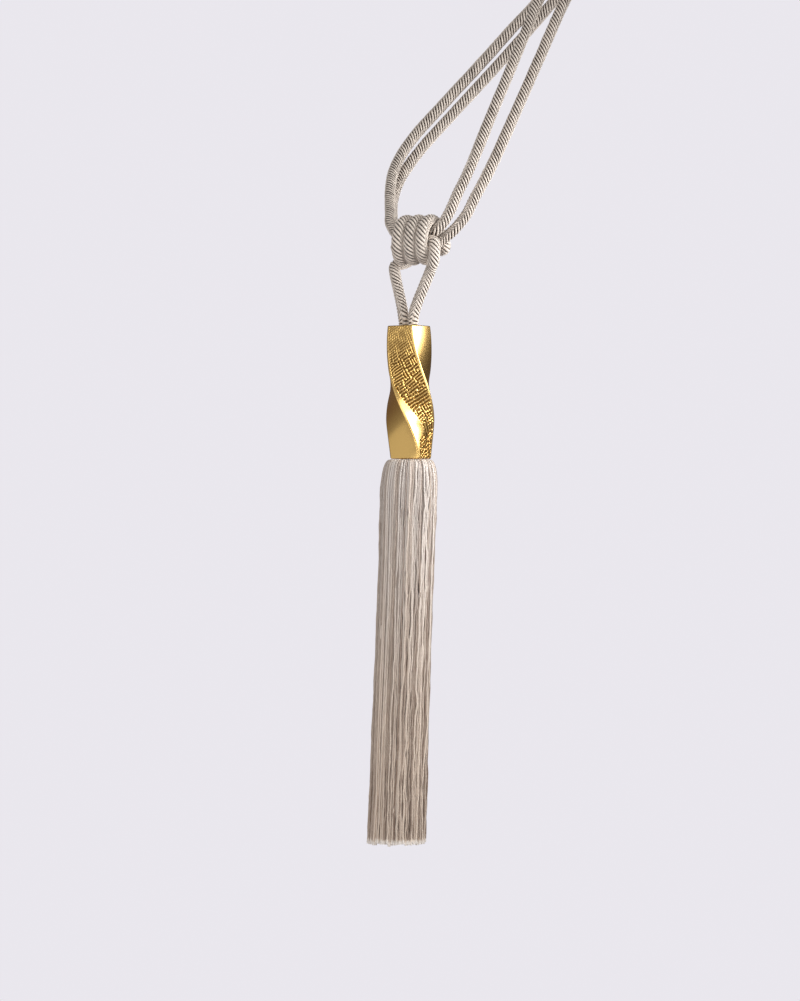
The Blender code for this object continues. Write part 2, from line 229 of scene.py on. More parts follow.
# The tieback cord's way in mm: (right, towards the wall, up)
FRONT_UPPER_STRAND = (
    (-113.6, -86.2, -234.6), (-108.5, -87.7, -229.7), (-103.2, -87.7, -221.0),
    (-98.0, -86.5, -209.1), (-88.9, -84.2, -190.1), (-72.1, -78.0, -148.8), (-54.3, -67.0, -105.3),
    (-36.9, -50.0, -62.2), (-25.0, -31.0, -35.5),
)
FRONT_LOOP = (
    (-15.5, -13.0, -14.0), (-9.8, -5.6, -2.0), (0.0, -4.5, 4.3), (9.8, -5.0, -2.0),
    (11.8, -8.5, -13.0), (5.5, -16.5, -27.0),
)
FRONT_LOWER_STRAND = (
    (-5.5, -28.0, -42.0), (-17.0, -42.0, -61.2), (-35.8, -59.0, -103.8), (-55.2, -73.0, -148.4),
    (-73.9, -80.5, -189.9), (-84.3, -83.0, -209.4), (-90.9, -84.0, -222.4), (-99.0, -83.8, -232.7),
    (-107.3, -81.2, -239.7),
)
BACK_LOWER_STRAND = (
    (-141.6, -61.5, -235.0), (-144.0, -52.6, -227.8), (-144.8, -40.0, -217.5),
    (-144.0, -26.0, -206.3), (-138.5, -10.0, -190.0), (-123.5, 3.0, -167.5), (-99.0, 12.0, -139.5),
    (-73.0, 16.0, -111.0), (-48.0, 17.0, -83.0), (-24.0, 15.0, -55.5), (-2.0, 11.0, -31.0),
)
BACK_LOOP = (
    (10.5, 6.5, -13.0), (9.8, 4.6, -2.0), (0.0, 4.3, 4.3), (-9.8, 4.8, -2.0), (-15.5, 7.5, -14.5),
)
BACK_UPPER_STRAND = (
    (-31.0, 14.5, -48.5), (-55.0, 17.0, -75.5), (-80.0, 16.0, -103.5), (-106.0, 12.0, -132.0),
    (-130.5, 2.0, -160.5), (-142.5, -14.0, -182.0), (-146.0, -33.0, -199.5),
    (-146.2, -47.0, -211.5), (-146.0, -58.0, -219.8), (-145.6, -69.0, -229.0),
)
# The tassel cord's way outside its turns, in mm: (along the barrel's axis, towards the room
# from it, up)
BEHIND_BARREL = (
    (-15.2, -17.6, -15.4), (-9.5, -22.2, -10.8), (0.0, -23.8, -7.8), (7.5, -23.3, -7.2),
    (13.0, -21.0, -6.3), (15.7, -17.2, -4.4), (15.7, -14.7, -0.4),
)
TUCK_INTO_BARREL = (
    (-14.6, -14.1, -7.4), (-16.8, -13.8, -4.4), (-18.0, -9.0, -3.7), (-17.2, -3.2, -5.0),
    (-13.6, 0.2, -5.4),
)
OUT_OF_BARREL = (
    (14.0, 6.4, -1.4), (17.6, 9.6, -3.0), (18.2, 11.0, -9.0), (16.8, 9.8, -16.5),
)
# The two legs, in the same axes as the tieback cord
LEFT_LEG = (
    (-136.0, -78.1, -302.7), (-136.0, -78.1, -300.7), (-137.2, -77.6, -291.4),
    (-140.2, -75.6, -276.8), (-142.5, -73.2, -265.5), (-142.7, -67.6, -258.8),
)
RIGHT_LEG = (
    (-116.8, -89.5, -263.0), (-122.7, -86.6, -277.3), (-128.2, -84.2, -291.7),
    (-129.8, -83.9, -300.7), (-129.8, -83.9, -302.7),
)


def mix(a, b, share):
    return a + (b - a) * share


def step(value, start, end):
    """0 before start, 1 after end, and a smooth step between."""
    share = np.clip((value - start) / (end - start), 0.0, 1.0)
    return share * share * (3 - 2 * share)


# ---- node trees


class Value:
    """A socket whose numbers can be reckoned with, so that a formula reads as one."""

    def __init__(self, tree, socket):
        self.tree = tree
        self.socket = socket

    def math(self, operation, *others, clamp=False):
        inputs = (self, *others)
        made = output(self.tree, "ShaderNodeMath", inputs, operation=operation, use_clamp=clamp)
        return Value(self.tree, made)

    def __add__(self, other):
        return self.math("ADD", other)

    def __sub__(self, other):
        return self.math("SUBTRACT", other)

    def __mul__(self, other):
        return self.math("MULTIPLY", other)

    def __truediv__(self, other):
        return self.math("DIVIDE", other)

    def from_one(self):
        return self * -1.0 + 1.0

    def clamped(self):
        return self.math("ADD", 0.0, clamp=True)

    def smoothed(self, low=0.0, high=1.0):
        """0 below low, 1 above high, and a smooth step between."""
        inputs = {"Value": self, "From Min": low, "From Max": high}
        made = output(self.tree, "ShaderNodeMapRange", inputs, interpolation_type="SMOOTHSTEP")
        return Value(self.tree, made)

    def to(self, low, high):
        """Low where this is 0, high where it is 1."""
        inputs = {"Value": self, "To Min": low, "To Max": high}
        return Value(self.tree, output(self.tree, "ShaderNodeMapRange", inputs, clamp=False))


def node(tree, kind, inputs=(), **settings):
    """Adds a node, sets its options, and links or sets its inputs, given in order or by name."""
    made = tree.nodes.new(kind)
    for option, setting in settings.items():
        setattr(made, option, setting)
    for key, value in inputs.items() if isinstance(inputs, dict) else enumerate(inputs):
        value = getattr(value, "socket", value)
        if isinstance(value, bpy.types.NodeSocket):
            tree.links.new(value, made.inputs[key])
        else:
            made.inputs[key].default_value = value
    return made


def output(tree, kind, inputs=(), **settings):
    """Adds a node in the same way, for its first output."""
    return node(tree, kind, inputs, **settings).outputs[0]


def vector(tree, x, y, z):
    return output(tree, "ShaderNodeCombineXYZ", (x, y, z))


def split(tree, socket):
    made = node(tree, "ShaderNodeSeparateXYZ", (socket,))
    return [Value(tree, made.outputs[k]) for k in range(3)]


def scaled(tree, place, factor):
    inputs = {0: place, "Scale": factor}
    return output(tree, "ShaderNodeVectorMath", inputs, operation="SCALE")


def noise(tree, place, **inputs):
    """Noise at a place, from 0 to 1."""
    inputs = {"Vector": place, "Scale": 1.0, "Detail": 1.0} | inputs
    return Value(tree, output(tree, "ShaderNodeTexNoise", inputs))


def stored(tree, name):
    """A number that a geometry keeps as an attribute."""
    inputs = {"Name": name}
    made = node(tree, "GeometryNodeInputNamedAttribute", inputs, data_type="FLOAT")
    return Value(tree, made.outputs["Attribute"])


def with_stored(tree, geometry, name, value):
    inputs = {"Geometry": geometry, "Name": name, "Value": value}
    return output(tree, "GeometryNodeStoreNamedAttribute", inputs, data_type="FLOAT")


def followed_curve(value, points):
    """What a smooth curve through these points, from 0 to 1, makes of a value."""
    made = node(value.tree, "ShaderNodeFloatCurve", {"Value": value})
    made.mapping.use_clip = False
    curve = made.mapping.curves[0]
    curve.points[0].location = points[0]
    curve.points[-1].location = points[-1]
    for point in points[1:-1]:
        curve.points.new(*point)
    made.mapping.update()
    return Value(value.tree, made.outputs[0])


def new_tree(name, kind, inputs, outputs):
    """A node group with named inputs, {name: its default number, or its kind of socket}, and
    named outputs, {name: its kind of socket}."""
    tree = bpy.data.node_groups.new(name, kind)
    number_sockets = {int: "NodeSocketInt", float: "NodeSocketFloat"}
    for socket_name, default in inputs.items():
        socket_type = number_sockets.get(type(default), default)
        socket = tree.interface.new_socket(socket_name, in_out="INPUT", socket_type=socket_type)
        if socket_type != default:
            socket.default_value = default
    for socket_name, socket_type in outputs.items():
        tree.interface.new_socket(socket_name, in_out="OUTPUT", socket_type=socket_type)
    sockets = node(tree, "NodeGroupInput").outputs
    given = {socket_name: Value(tree, sockets[socket_name]) for socket_name in inputs}
    return tree, given, node(tree, "NodeGroupOutput").inputs


def new_geometry_tree(name, inputs):
    """A geometry tree with these inputs, and those that both trees of this part have."""
    inputs = {"Geometry": "NodeSocketGeometry"} | inputs
    inputs |= {"Top": "NodeSocketVector", "Lean": "NodeSocketVector"}
    inputs |= {"Material": "NodeSocketMaterial"}
    return new_tree(name, "GeometryNodeTree", inputs, {"Geometry": "NodeSocketGeometry"})


def hung(tree, given, geometry, place, way):
    """A geometry moved to these places, reckoned from its top and leaning by its way down."""
    for other in (scaled(tree, given["Lean"], way), given["Top"]):
        place = output(tree, "ShaderNodeVectorMath", (place, other), operation="ADD")
    return output(tree, "GeometryNodeSetPosition", {"Geometry": geometry, "Position": place})


def finish_geometry(tree, geometry, given, result):
    """Ends a geometry tree: smooth faces, the material, and no instances left."""
    geometry = output(tree, "GeometryNodeSetShadeSmooth", {"Geometry": geometry})
    geometry = output(tree, "GeometryNodeRealizeInstances", (geometry,))
    inputs = {"Geometry": geometry, "Material": given["Material"]}
    tree.links.new(output(tree, "GeometryNodeSetMaterial", inputs), result["Geometry"])


def run_tree(name, tree, mesh, values):
    """What a geometry tree makes of a mesh, as an object with a plain mesh."""
    source = add_object(name + "_source", mesh)
    modifier = source.modifiers.new(tree.name, "NODES")
    modifier.node_group = tree
    for socket in tree.interface.items_tree:
        if socket.in_out == "INPUT" and socket.name in values:
            modifier[socket.identifier] = values[socket.name]
    depsgraph = bpy.context.evaluated_depsgraph_get()
    made = bpy.data.meshes.new_from_object(
        source.evaluated_get(depsgraph), preserve_all_data_layers=True, depsgraph=depsgraph
    )
    source.modifiers.remove(modifier)
    bpy.data.objects.remove(source)
    return add_object(name, made)


def add_object(name, data):
    data.name = name
    obj = bpy.data.objects.new(name, data)
    bpy.context.scene.collection.objects.link(obj)
    return obj


def finish_piece(obj, slot, *nodes):
    """The piece moves with the model, and stands for these of its nodes."""
    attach(obj, BODY)
    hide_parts(*nodes)


# ---- cord routes


def in_barrel(along, front, up):
    """A point given along the barrel's axis, towards the room and up."""
    return BARREL_CENTRE + BARREL_AXIS * along + BARREL_ROOM * front + UP * up


def from_mm(rows):
    """Rows in mm, to a tenth, as points in metres."""
    return [np.divide(row, MM_PER_METRE).round(4) for row in rows]


def from_barrel_mm(rows):
    return [in_barrel(*row) for row in from_mm(rows)]


def bore_run(name, start, end, points=3):
    """Points through the barrel from start to end, shares of its half length from -1 to 1."""
    run = []
    for share in np.linspace(start, end, points):
        angle = math.radians(BORE_RUN_ANGLES[name] + BORE_RUN_TURN * (1 - share) / 2)
        front = BORE_RUN_RADIUS * math.cos(angle)
        run.append(in_barrel(share * BORE_HALF_LENGTH, front, BORE_RUN_RADIUS * math.sin(angle)))
    return run


def barrel_turns():
    """The turns, from the top of the right-hand one down its front and on to the left."""
    first = math.pi * TURNS_FROM
    last = -2 * math.pi * (TURNS - 1) + math.pi * TURNS_TO
    count = round((first - last) / (2 * math.pi) * TURN_POINTS)
    turns = []
    for angle in np.linspace(first, last, count + 1):
        along = TURN_PITCH * ((TURNS - 1) / 2 + angle / (2 * math.pi))
        front = TURN_RADIUS * math.cos(angle)
        turns.append(in_barrel(along, front, TURN_RADIUS * math.sin(angle)))
    return turns


def smooth_curve(route):
    """Many points on a smooth curve through the route's own (a centripetal Catmull-Rom one)."""
    route = np.array([2 * route[0] - route[1], *route, 2 * route[-1] - route[-2]])
    share = np.arange(CURVE_STEPS)[:, None] / CURVE_STEPS
    curve = []
    for p0, p1, p2, p3 in zip(route, route[1:], route[2:], route[3:], strict=False):
        t1 = math.sqrt(np.linalg.norm(p1 - p0))
        t2 = t1 + math.sqrt(np.linalg.norm(p2 - p1))
        t3 = t2 + math.sqrt(np.linalg.norm(p3 - p2))
        t = mix(t1, t2, share)
        a1 = mix(p0, p1, t / t1)
        a2 = mix(p1, p2, (t - t1) / (t2 - t1))
        a3 = mix(p2, p3, (t - t2) / (t3 - t2))
        b1 = mix(a1, a2, t / t2)
        b2 = mix(a2, a3, (t - t1) / (t3 - t1))
        curve.extend(mix(b1, b2, (t - t1) / (t2 - t1)))
    curve.append(route[-2])
    return np.array(curve)


def tieback_route():
    """One ring of cord, flattened into two strands. Its ends meet inside the barrel."""
    route = bore_run("upper", 0.02, 1, points=2)
    route += from_mm(FRONT_UPPER_STRAND + FRONT_LOOP + FRONT_LOWER_STRAND)
    route += bore_run("lower", 1, -1)
    route += from_mm(BACK_LOWER_STRAND + BACK_LOOP + BACK_UPPER_STRAND)
    return route + bore_run("upper", -1, -0.02, points=2)


def tassel_route():
    """Up from the head, behind the barrel, round it from right to left, and back through it."""
    route = from_mm(LEFT_LEG) + from_barrel_mm(BEHIND_BARREL)
    route += barrel_turns() + from_barrel_mm(TUCK_INTO_BARREL)
    route += bore_run("tassel", -0.6, 0.8) + from_barrel_mm(OUT_OF_BARREL)
    return route + from_mm(RIGHT_LEG)


# ---- tubes and braid


def tube_mesh(name, grid, start, end):
    """A closed tube through rows of points, with a fan to a point at each end. Going along a row
    turns to the left as seen from the first row's end, so that the faces point outwards."""
    rows, columns = grid.shape[:2]
    index = np.arange(rows * columns).reshape(rows, columns)
    after = np.roll(index, -1, axis=1)
    quads = np.stack([index[:-1], index[1:], after[1:], after[:-1]], axis=-1).reshape(-1, 4)
    first = np.full(columns, rows * columns)
    fans = [
        np.stack([first, index[0], after[0]], axis=-1),
        np.stack([first + 1, after[-1], index[-1]], axis=-1),
    ]
    points = np.concatenate([grid.reshape(-1, 3), [start, end]])
    mesh = bpy.data.meshes.new(name)
    mesh.from_pydata(points.tolist(), [], quads.tolist() + np.concatenate(fans).tolist())
    mesh.shade_smooth()
    return mesh


def store_grid_values(mesh, name, grid):
    """Keeps a number for each vertex of a tube as an attribute, 0 at its two end points."""
    values = np.concatenate([grid.ravel(), [0.0, 0.0]]).astype(np.float32)
    mesh.attributes.new(name, "FLOAT", "POINT").data.foreach_set("value", values)


def no_twist_frames(line):
    """Two directions square to a line at each of its points, that don't turn about it."""
    tangent = np.gradient(line, axis=0)
    tangent /= np.linalg.norm(tangent, axis=1)[:, None]
    side = np.cross(tangent[0], UP + 0.1)
    sides = []
    for direction in tangent:
        side = side - direction * (side @ direction)
        side /= np.linalg.norm(side)
        sides.append(side)
    return np.array(sides), np.cross(np.array(sides), tangent)


def braid_columns(wide_share):
    """The braid's four columns of ribs: for each vertex round it the angle, how far up its rib's
    slant it sits (-0.5 to 0.5), its place across its column (0 to 1) and the column's number."""
    made = []
    begin = FIRST_COLUMN - wide_share / 2
    for column in range(4):
        wide = column % 2 == 0
        width, slant = (wide_share, 1) if wide else (0.5 - wide_share, -1)
        vertices = COLUMN_VERTICES[column % 2]
        for i in range(vertices):
            across = i / vertices
            turn = 2 * math.pi * (begin + width * across)
            made.append((turn, slant * (across - 0.5), across, column))
        begin += width
    return np.array(made).T


def braided_cord(name, route, braid, rows_per_rib, groove, roll, flat_stretch=None):
    """A braided cord along a route, with its ribs in its surface: the mesh's rows run along them. Its
    grooves are this many times as deep as set, and their painted shade deepens with them. Returns the
    object, its centreline and its length."""
    curve = smooth_curve(route)
    distance = np.concatenate([[0], np.cumsum(np.linalg.norm(np.diff(curve, axis=0), axis=1))])
    length = float(distance[-1])
    even = np.linspace(0, length, round(length / LINE_STEP) + 1)
    line = np.stack([np.interp(even, distance, curve[:, k]) for k in range(3)], axis=1)
    sides, others = no_twist_frames(line)

    ribs = round(length / braid.rib_pitch)
    down = np.linspace(0, length, ribs * rows_per_rib + 1)[:, None]
    turn, slant, across, column = braid_columns(braid.wide_share)
    rise = 2 * math.pi * braid.wide_share * CORD_D / 2 / math.tan(braid.rib_angle)
    ease = step(down, 0, END_EASE) * step(length - down, 0, END_EASE)
    at = np.clip(down + slant * rise * ease, 0, length)
    rolled = [distance[k * CURVE_STEPS] for k, _ in roll]
    angle = turn + np.interp(at, rolled, [math.radians(degrees) for _, degrees in roll])

    phase = np.arange(len(down))[:, None] / rows_per_rib + (column % 2) * 0.5
    rib = 1 - np.abs(2 * (phase % 1) - 1) ** RIB_ROUNDNESS
    edge = 1 - np.abs(2 * across - 1) ** SEAM_SHARPNESS
    uneven = np.random.default_rng(RIB_SEED).normal(0, RIB_UNEVEN, (ribs + 2, 4))
    height = mix(SEAM_HEIGHT, rib, edge)
    height = height + uneven[np.floor(phase).astype(int), column.astype(int)] * edge
    height = 1 - (1 - height) * groove
    radius = CORD_D / 2 + braid.rib_proud - braid.rib_depth * (1 - height)

    def along_line(values):
        return np.stack([np.interp(at, even, values[:, k]) for k in range(3)], axis=-1)

    out = along_line(sides) * np.cos(angle)[..., None]
    out = (out + along_line(others) * np.sin(angle)[..., None]) * radius[..., None]
    if flat_stretch is not None:
        begin, finish = (distance[k * CURVE_STEPS] for k in flat_stretch)
        share = step(at - begin, 0, CORD_D) * step(finish - at, 0, CORD_D)
        out += (out @ BARREL_AXIS * share * FLATTENING)[..., None] * BARREL_AXIS
    mesh = tube_mesh(name, along_line(line) + out, line[0], line[-1])
    add_rib_uv(mesh, phase, across)
    # The height also sets the painted shade in the grooves and along the seams
    store_grid_values(mesh, "height", height)
    return add_object(name, mesh), line, length


def add_rib_uv(mesh, phase, across):
    """A UV map that runs across the ribs, one unit for each, and along them."""
    rows, columns = phase.shape
    after = np.roll(across, -1)
    after = np.where(after > 0, after, 1.0)
    uv = np.zeros((rows - 1, columns, 4, 2))
    uv[..., 0] = np.stack([phase[:-1], phase[1:], phase[1:], phase[:-1]], axis=-1)
    uv[..., 1] = np.stack([across, across, after, after], axis=-1)
    corners = np.concatenate([uv.reshape(-1, 2), np.zeros((columns * 6, 2))])
    mesh.uv_layers.new(name="ribs").data.foreach_set("uv", corners.astype(np.float32).ravel())


# ---- twisted head


def grown_maze(tall, wide):
    """Raised lines that turn at right angles as in a maze, and pebbles towards the first row, from
    a Swift-Hohenberg equation that is run from seeded noise. MAZE_WAVE cells to a line."""
    along = np.fft.fftfreq(tall)[:, None] * MAZE_WAVE
    across = np.fft.fftfreq(wide)[None, :] * MAZE_WAVE
    one_way = along * math.cos(MAZE_TURN) + across * math.sin(MAZE_TURN)
    other_way = across * math.cos(MAZE_TURN) - along * math.sin(MAZE_TURN)
    damping = (1 - along**2 - across**2) ** 2 + MAZE_SQUARENESS * (one_way * other_way) ** 2
    damping = damping + MAZE_ACROSS * other_way**2
    share = np.arange(tall)[:, None] / tall
    lines = step(share, *PEBBLE_REACH)
    growth, pebbles = mix(*MAZE_GROWTH, lines), mix(*MAZE_BREAK, lines)
    start = np.random.default_rng(MAZE_SEED).normal(0, MAZE_NOISE, (tall, wide))
    field = np.fft.ifft2(np.fft.fft2(start) / (1 + 2 * damping)).real
    for _ in range(MAZE_STEPS):
        push = np.fft.fft2(growth * field + pebbles * field**2 - field**3)
        waves = (np.fft.fft2(field) + MAZE_STEP * push) / (1 + MAZE_STEP * damping)
        field = np.fft.ifft2(waves).real
    field = (field - field.mean()) / field.std()
    return np.tanh(MAZE_STEEPNESS * field + mix(*MAZE_FULLNESS, lines))


def maze_pattern(down, across, fine, coarse):
    """The maze at these distances down and across a side. The lines' pitch grows from fine to
    coarse. About -1 to 1."""
    pitch = mix(fine, coarse, down / down[-1])
    lines_down = np.concatenate([[0], np.cumsum(np.diff(down) / pitch[:-1])])
    wide = 2 * round(np.abs(across).max() / fine * MAZE_WAVE) + 4
    tall = round(lines_down[-1] * MAZE_WAVE) + wide
    field = grown_maze(tall, wide)
    lines_across = across[None, :] / pitch[:, None]
    row = (lines_down[:, None] + lines_across * math.sin(MAZE_LEAN)) * MAZE_WAVE + wide / 2
    column = lines_across * math.cos(MAZE_LEAN) * MAZE_WAVE + wide / 2
    r, c = np.floor(row).astype(int), np.floor(column).astype(int)
    above = mix(field[r, c], field[r, c + 1], column - c)
    below = mix(field[r + 1, c], field[r + 1, c + 1], column - c)
    return mix(above, below, row - r)


def head_outline(maze_columns):
    """A rounded square of corner radius 1 as points round the axis, an edge towards the room.
    Each has x, y, its side (-1 on an edge) and how far across the side it lies."""
    half_side = (1 + (math.sqrt(2) - 1) * FILLET_SHARE) / math.sqrt(2)
    flat = half_side - FILLET_SHARE
    points = []

    def add(angle, out, across, side, share):
        x = out * math.sin(angle) + across * math.cos(angle)
        y = across * math.sin(angle) - out * math.cos(angle)
        points.append((x, y, side, share))

    for side in range(4):
        facing = side * math.pi / 2
        for i in range(FILLET_COLUMNS + 1):
            bend = mix(-math.pi / 4, math.pi / 4, i / FILLET_COLUMNS)
            out = flat * math.sqrt(2) + FILLET_SHARE * math.cos(bend)
            add(facing, out, FILLET_SHARE * math.sin(bend), -1, 0.0)
        columns = maze_columns if side % 2 else SMOOTH_COLUMNS
        for i in range(columns):
            share = (i + 1) / (columns + 1)
            out = half_side + BULGE * (1 - (2 * share - 1) ** 2)
            add(facing + math.pi / 4, out, mix(-flat, flat, share), side, share)
    return np.array(points)


def head_mesh(head):
    """The head before it is twisted: x and y for a corner radius of 1, z the share of the way
    down, and its grain and polish as attributes."""
    maze_columns = round(HEAD_BELLY_RADIUS * math.sqrt(2) / MAZE_CELL) - 1
    outline = head_outline(maze_columns)
    body_rows = round(HEAD_LENGTH / MAZE_CELL)
    first, last = EDGE_ROWS[-1][0], 1 - EDGE_ROWS[-1][0]
    body = [(first + (last - first) * i / body_rows, 1.0) for i in range(1, body_rows)]
    levels = np.array([*EDGE_ROWS, *body, *((1 - way, size) for way, size in EDGE_ROWS[::-1])])
    grid = np.zeros((len(levels), len(outline), 3))
    grid[..., :2] = outline[None, :, :2] * levels[:, 1, None, None]
    grid[..., 2] = levels[:, 0, None]

    relief = np.zeros(grid.shape[:2])
    grain = np.zeros(grid.shape[:2])
    way = levels[:, 0]
    fade = step(way, *GRAIN_ENDS) * step(1 - way, *GRAIN_ENDS)
    band = np.interp(way, *np.transpose(POLISHED_BAND))
    depth = mix(PEBBLE_DEPTH, 1.0, step(way, 0, FULL_DEPTH_AT))
    sunk = SINK * step(way, *SINK_REACH)
    for side in (3, 1):
        columns = outline[:, 2] == side
        across = outline[columns, 3] * HEAD_BELLY_RADIUS * math.sqrt(2)
        inside = step(across[None, :] - band[:, None], 0, GRAIN_EDGE)
        inside = inside * step(across[::-1] - head.rim_width, 0, GRAIN_EDGE)
        place = across - across.mean()
        pattern = maze_pattern(way * HEAD_LENGTH, place, head.fine_pitch, head.coarse_pitch)
        pattern = 1 - (1 - pattern) * depth[:, None] - sunk[:, None]
        relief[:, columns] = mix(1.0, pattern, inside) * fade[:, None]
        grain[:, columns] = inside
    mesh = tube_mesh("head_blank", grid, (0.0, 0.0, 0.0), (0.0, 0.0, 1.0))
    store_grid_values(mesh, "relief", relief)
    store_grid_values(mesh, "grain", grain)
    return mesh


def twist_tree():
    """Twists a straight bar, bellies it out, places it, and raises its relief."""
    inputs = {"Length": 0.1, "First Turn": 0.0, "Twist": 2.0}
    inputs |= {"End Radius": 0.0155, "Belly Radius": 0.018, "Relief": 0.0003}
    tree, given, result = new_geometry_tree("twisted_bar", inputs)
    x, y, way = split(tree, output(tree, "GeometryNodeInputPosition"))
    turn = followed_curve(way, TWIST_CURVE) * given["Twist"] + given["First Turn"]
    radius = followed_curve(way, BELLY_CURVE).to(given["End Radius"], given["Belly Radius"])
    straight = vector(tree, x * radius, y * radius, way * -1.0 * given["Length"])
    inputs = {"Vector": straight, "Angle": turn}
    twisted = output(tree, "ShaderNodeVectorRotate", inputs, rotation_type="Z_AXIS")
    placed = hung(tree, given, given["Geometry"], twisted, way)
    height = stored(tree, "relief") * given["Relief"]
    offset = scaled(tree, output(tree, "GeometryNodeInputNormal"), height)
    raised = output(tree, "GeometryNodeSetPosition", {"Geometry": placed, "Offset": offset})
    finish_geometry(tree, raised, given, result)
    return tree


# ---- yarn skirt


def yarn_lines(tree, given):
    """A line for each yarn, and what it keeps: where its root lies on a golden-angle spiral, and
    three chances of its own. First, Step and Count pick which of the yarns are made."""
    points = output(tree, "GeometryNodePoints", {"Count": given["Count"]})
    order = Value(tree, output(tree, "GeometryNodeInputIndex"))
    order = order * given["Step"] + given["First"]
    root = {"turn": order * GOLDEN_ANGLE, "depth": ((order + 0.5) / given["Yarns"]).math("SQRT")}
    for k, name in enumerate(("chance", "chance2", "chance3")):
        inputs = {"ID": order, "Seed": given["Seed"] + float(k * 17)}
        made = node(tree, "FunctionNodeRandomValue", inputs, data_type="FLOAT")
        root[name] = Value(tree, made.outputs[1])
    for name, value in root.items():
        points = with_stored(tree, points, name, value)
    line = output(tree, "GeometryNodeCurvePrimitiveLine")
    inputs = {"Curve": line, "Count": given["Segments"] + 1.0}
    line = output(tree, "GeometryNodeResampleCurve", inputs)
    inputs = {"Points": points, "Instance": line}
    yarns = output(tree, "GeometryNodeInstanceOnPoints", inputs)
    yarns = output(tree, "GeometryNodeRealizeInstances", (yarns,))
    return yarns, [stored(tree, name) for name in root]


def yarn_tree():
    """A bundle of yarns that come out over a round shoulder and hang to uneven cut ends."""
    inputs = {"Yarns": 800, "First": 0, "Step": 1, "Count": 100, "Segments": 60, "Sides": 5}
    inputs |= {"Seed": 3, "Thickness": 0.001, "Neck Radius": NECK_RADIUS}
    inputs |= {"Shoulder Radius": SHOULDER_RADIUS, "Shoulder Drop": SHOULDER_DROP}
    inputs |= {"Length": SKIRT_LENGTH, "Uneven": 0.0015, "Lock Spread": 0.0012, "Wander": 0.001}
    tree, given, result = new_geometry_tree("yarn_bundle", inputs)
    yarns, (turn, depth, chance, chance2, chance3) = yarn_lines(tree, given)

    def swell(x, y, z, scale):
        return noise(tree, vector(tree, x, y, z), Scale=scale) + -0.5

    across, out = turn.math("COSINE"), turn.math("SINE")
    factor = Value(tree, node(tree, "GeometryNodeSplineParameter").outputs["Factor"])
    # More of a yarn's points lie at its bend and its tip
    way = factor * 0.4 + factor.smoothed() * 0.6
    tucked = (way / YARN_TUCK).clamped().from_one()
    bend = ((way + -YARN_TUCK) / (YARN_BEND - YARN_TUCK)).clamped() * (math.pi / 2)
    fall = ((way + -YARN_BEND) / (1 - YARN_BEND)).clamped()
    tip = fall.smoothed(TIP_FROM, 1.0)
    half = given["Thickness"] * 0.5
    widest = given["Shoulder Radius"] * followed_curve(fall, SKIRT_SWELL)
    rounded = bend.math("SINE")
    envelope = mix(given["Neck Radius"], widest, rounded.math("POWER", 0.75)) - half
    ends = swell(across, out, 60.0, END_NOISE) + 0.5
    uneven = chance3 * 0.8 + ends * 2.0 + depth.from_one() * 4.0
    length = given["Length"] - given["Uneven"] * uneven
    drop = given["Shoulder Drop"] * bend.math("COSINE").from_one()
    drop = half + drop + (length - given["Shoulder Drop"] - half) * fall

    # Neighbours share the noise of the locks and the swings; the last two are a yarn's own
    locks = swell(across, out, way * 0.5 + depth * 3.0, LOCK_NOISE)
    fine_locks = swell(across, out, way * 1.2 + 20.0, FINE_LOCK_NOISE)
    swings = swell(across, out, way * 1.5 + 40.0, SWING_NOISE)
    first, second, third = (value * OWN_NOISE for value in (chance, chance2, chance3))
    own = swell(first, second, way * 4.0, 1.0)
    other = swell(second, third, way * 4.0 + 50.0, 1.0)
    loose = fall.smoothed() * 0.8 + 0.2
    stray = chance.smoothed(*STRAY_YARNS) * fall.smoothed(0.1, 1.0)
    spread, wander = given["Lock Spread"], given["Wander"]
    radius = depth * (envelope - given["Neck Radius"] * 0.3 * tucked)
    radius = radius + (locks * 1.6 + fine_locks) * spread * rounded * depth
    radius = radius + own * wander * loose + stray * STRAY_LIFT
    slide = (locks * 2.4 + fine_locks * 1.6) * spread + other * wander * loose * 2.0
    slide = slide + swings * wander * fall * 2.0 + own * stray * STRAY_SWING
    angle = turn + slide / given["Shoulder Radius"]
    place = vector(tree, angle.math("COSINE") * radius, angle.math("SINE") * radius, drop * -1.0)
    yarns = hung(tree, given, yarns, place, drop / given["Length"])
    yarns = with_stored(tree, yarns, "tip", tip)
    thick = chance2 * 0.3 + 0.85 + tip * TIP_FLARE
    yarns = output(tree, "GeometryNodeSetCurveRadius", {"Curve": yarns, "Radius": thick})
    inputs = {"Resolution": given["Sides"], "Radius": half}
    ring = output(tree, "GeometryNodeCurvePrimitiveCircle", inputs)
    inputs = {"Curve": yarns, "Profile Curve": ring, "Fill Caps": True}
    tubes = node(tree, "GeometryNodeCurveToMesh", inputs)
    if "Scale" in tubes.inputs:
        tree.links.new(thick.socket, tubes.inputs["Scale"])
    finish_geometry(tree, tubes.outputs[0], given, result)
    return tree


# ---- materials


def new_material(name, **uniform):
    """A material with a Principled BSDF. The keywords set its sockets that have one value."""
    made = bpy.data.materials.new(name)
    made.use_nodes = True
    inputs = made.node_tree.nodes["Principled BSDF"].inputs
    for socket, value in uniform.items():
        inputs[socket.replace("_", " ")].default_value = value
    return made, made.node_tree, inputs


def shared_group(name):
    """A shader node group that several materials use, built once."""
    return bpy.data.node_groups.get(name) or SHARED_GROUPS[name](name)


def place_group(tree, name, inputs):
    return node(tree, "ShaderNodeGroup", inputs, node_tree=shared_group(name)).outputs


def rgba(colour):
    return (*colour, 1.0)


def mixed_colour(tree, share, first, second):
    made = node(tree, "ShaderNodeMix", {0: share, 6: first, 7: second}, data_type="RGBA")
    return made.outputs[2]


